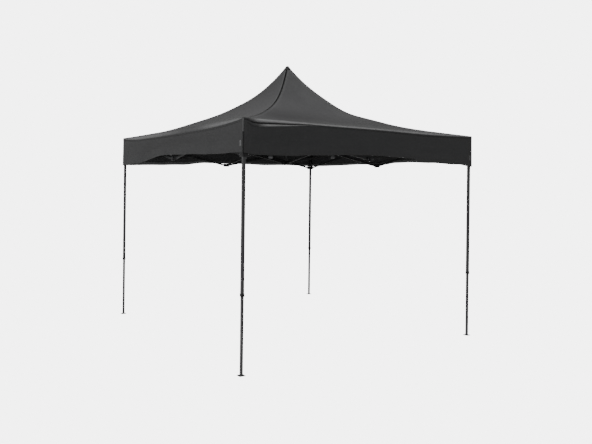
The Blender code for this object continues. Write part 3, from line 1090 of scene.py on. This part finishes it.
def make_legs():
    for corner in CORNERS:
        fine_copy(f"leg_outer_{corner}", f"leg_outer_tube_{corner}", LEG_PAINT, TUBE_EDGE,
                  f"leg_{corner}", 1)
    parts = ((make_inner_leg(), "leg_inner_tube", "leg_steel", "leg_inner"),
             (make_leg_collar(), "leg_collar", "bracket_plastic", "leg"),
             (make_foot_weld(), "foot_weld", "leg_steel", "leg_inner"))
    for k, corner in enumerate(CORNERS):
        for part, name, slot, body in parts:
            piece = copy_piece(part, f"{name}_{corner}", side_turn(k))
            if name == "leg_inner_tube":
                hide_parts(f"leg_inner_{corner}")
            dress(piece, f"{body}_{corner}")
    for part, *_ in parts:
        drop(part)


# Height holes: how many, the highest and the step down. Peg holes off the leg's middle
HOLES = 5
HOLE_TOP = 0.64
HOLE_STEP = 0.06
PEG_HOLES = ((0.02, -0.02), (-0.02, 0.02))


def make_inner_leg():
    """Inner tube on its foot plate, with the row of height holes and two peg holes."""
    leg = plain_copy("leg_inner_ne", "inner leg")
    drills = []
    for i in range(HOLES):
        drills.append(cylinder(20, 0.0042, 0.05, (HALF, HALF, HOLE_TOP - HOLE_STEP * i),
                               (math.pi / 2, 0, 0)))
    for x, y in PEG_HOLES:
        drills.append(cylinder(24, 0.0045, 0.02, (HALF + x, HALF + y, 0.002)))
    cutter = join("drills", [settle(drill) for drill in drills])
    modify(leg, "BOOLEAN", operation="DIFFERENCE", solver="EXACT", object=cutter)
    drop(cutter)
    return paint(smooth(bevel(leg, 0.0006, 1, 40), 30), LEG_PAINT)


COLLAR_Z = 0.7005
COLLAR_SIZE = (0.0312, 0.0312, 0.027)
COLLAR_WALL = 0.0014
BUTTON_OUT = 0.0166


def make_leg_collar():
    """Plastic end collar of the outer leg with its push button."""
    bpy.ops.mesh.primitive_cube_add(size=1, location=(HALF, HALF, COLLAR_Z))
    ring = bpy.context.active_object
    ring.scale = COLLAR_SIZE
    settle(ring)
    take_faces(ring, lambda normal: abs(normal.z) > 0.9)
    bpy.ops.mesh.delete(type="FACE")
    leave(ring)
    bevel(solidify(ring, COLLAR_WALL), 0.0005, 2, 40)
    button = settle(cylinder(24, 0.0062, 0.004, (HALF, HALF + BUTTON_OUT, COLLAR_Z),
                             (-math.pi / 2, 0, 0)))
    work_faces(button, lambda normal: normal.y > 0.9, (0.0012, 0.0008), (0.0016, 0.0004))
    return paint(join("leg collar", [smooth(ring, 35), smooth(button, 50)]), NYLON)


WELD_RING = 0.0125
WELD_HALF = 0.0122


def make_foot_weld():
    """Weld bead round the tube's foot: a ring drawn out to the tube's square."""
    bead = torus(40, WELD_RING, 0.0016, (HALF, HALF, 0.0045))
    for vert in bead.data.vertices:
        x = vert.co.x - HALF
        y = vert.co.y - HALF
        grow = min(WELD_HALF / max(abs(x), abs(y)) * math.hypot(x, y) / WELD_RING, 1.3)
        lump = 1 + 0.03 * math.sin(19 * math.atan2(y, x))
        vert.co.x = HALF + x * grow * lump
        vert.co.y = HALF + y * grow * lump
    return paint(smooth(bead, 60), LEG_PAINT)


# Where the pull pin of the north-east slider stands
PIN_PLACE = (HALF - 0.0085, HALF - 0.019, Z_LOW - 0.012)
PULL_RING = 0.0085


def make_pull_pins():
    """Spring pin with a pull ring on the inner face of each slider."""
    barrel = cylinder(20, 0.005, 0.01, (0, 0, 0.005))
    work_faces(barrel, is_top, (0.0018, 0.0), (0.007,), (0.0006, 0.0005))
    smooth(bevel(barrel, 0.0004, 2, 40), 40)
    ring = smooth(torus(36, PULL_RING, 0.0009, (0, -PULL_RING, 0.0152)), 60)
    pin = paint(join("pull pin", [barrel, ring]), ZINC)
    for k, corner in enumerate(CORNERS):
        stand = Matrix.Translation(at_side(k, *PIN_PLACE)) @ side_turn(k)
        stand @= Matrix.Rotation(math.pi / 2, 4, "X")
        piece = copy_piece(pin, f"slider_pull_pin_{corner}", stand)
        dress(piece, f"slider_{corner}")
    drop(pin)


# Outline of the pole from its foot up, as (radius, height), and where its plastic head starts
POLE_PROFILE = ((0, 1.9453), (0.0095, 1.9453), (0.011, 1.9465), (0.011, 2.99),
                (0.0125, 2.9905), (0.0166, 2.996), (0.017, 3.0000), (0.017, 3.012),
                (0.016, 3.022), (0.0135, 3.031), (0.0095, 3.039), (0.005, 3.044),
                (0.0, 3.0462))
POLE_HEAD_Z = 2.9895


def make_pole():
    """Turned peak pole with a rounded plastic head."""
    mesh = bpy.data.meshes.new("peak pole line")
    mesh.from_pydata([(r, 0, z) for r, z in POLE_PROFILE],
                     [(i, i + 1) for i in range(len(POLE_PROFILE) - 1)], [])
    pole = add_object("peak_pole_tube", mesh)
    edit(pole)
    choose("SELECT")
    bpy.ops.mesh.spin(steps=40, angle=2 * math.pi, center=(0, 0, 0), axis=(0, 0, 1))
    merge(0.00003)
    bpy.ops.mesh.normals_make_consistent(inside=False)
    leave(pole)
    paint(smooth(pole, 30), POLE_METAL)
    paint_where(pole, NYLON, lambda face: face.center.z > POLE_HEAD_Z)
    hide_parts("peak_pole")
    dress(pole, "peak_pole")


# ---- stage ----

CAMERA_PLACE = (-4.2129, -6.0684, 1.664)
CAMERA_HEADING = -32.2
CAMERA_ROLL = 0.67
LENS = 37.48
LENS_SHIFT = 0.0637

# Brightness of the plain backdrop as the camera sees it, and of the sky that lights the tent
BACKDROP = 5.5
SKY = 0.85
WHITE = (1, 1, 1, 1)

# Area lights: name, place, point that they face, size and power
LIGHTS = (
    ("key", (-7.0, -1.5, 6.0), (0, 0, 2.2), 4.0, 860),
    ("top", (-1.2, -3.6, 8.6), (0, 0, 2.2), 4.0, 380),
    ("fill", (7.5, 6.5, 1.9), (0, 0, 2.3), 2.4, 260),
)


def make_camera():
    data = adjust(bpy.data.cameras.new("camera"), sensor_width=36.0, lens=LENS,
                  shift_x=LENS_SHIFT, shift_y=-LENS_SHIFT, clip_end=200.0)
    camera = add_object("camera", data)
    heading = Matrix.Rotation(math.radians(CAMERA_HEADING), 4, "Z")
    level = Matrix.Rotation(math.pi / 2, 4, "X")
    roll = Matrix.Rotation(math.radians(CAMERA_ROLL), 4, "Z")
    camera.matrix_world = Matrix.Translation(CAMERA_PLACE) @ (heading @ level @ roll)
    bpy.context.scene.camera = camera


def area_light(name, place, target, size, power):
    data = adjust(bpy.data.lights.new(name, "AREA"), shape="SQUARE", size=size, energy=power)
    light = add_object(name, data)
    light.location = place
    direction = Vector(target) - Vector(place)
    light.rotation_euler = direction.to_track_quat("-Z", "Y").to_euler()


def bright_to_camera(graph, kind, dim, output):
    """Makes a surface look evenly bright but give the tent only a soft bounce."""
    path = graph.add("ShaderNodeLightPath").outputs["Is Camera Ray"]
    bright = graph.fill(graph.add(kind), Color=WHITE, Strength=BACKDROP)[0]
    mix = graph.add("ShaderNodeMixShader")
    for socket, value in zip(mix.inputs, (path, dim, bright)):
        graph.give(socket, value)
    graph.fill(graph.nodes[output], Surface=mix.outputs[0])


def make_stage():
    bpy.ops.mesh.primitive_plane_add(size=120, location=(0, 0, -0.0002))
    floor = bpy.context.active_object
    floor.name = "floor"
    material, graph, shader = new_material("floor")
    matt = graph.fill(shader, Base_Color=(0.55, 0.55, 0.55, 1), Roughness=0.9)[0]
    bright_to_camera(graph, "ShaderNodeEmission", matt, "Material Output")
    paint(floor, material)
    world = bpy.data.worlds.new("studio")
    bpy.context.scene.world = world
    world.use_nodes = True
    graph = Graph(world.node_tree)
    sky = graph.fill(graph.nodes["Background"], Color=WHITE, Strength=SKY)[0]
    bright_to_camera(graph, "ShaderNodeBackground", sky, "World Output")
    for light in LIGHTS:
        area_light(*light)


make_camera()
make_valances()
make_corner_seams()
make_peak_patch()
make_hip_seams()
make_roof()
make_bars()
make_brackets()
add_bolts()
make_legs()
make_pull_pins()
make_pole()
make_stage()
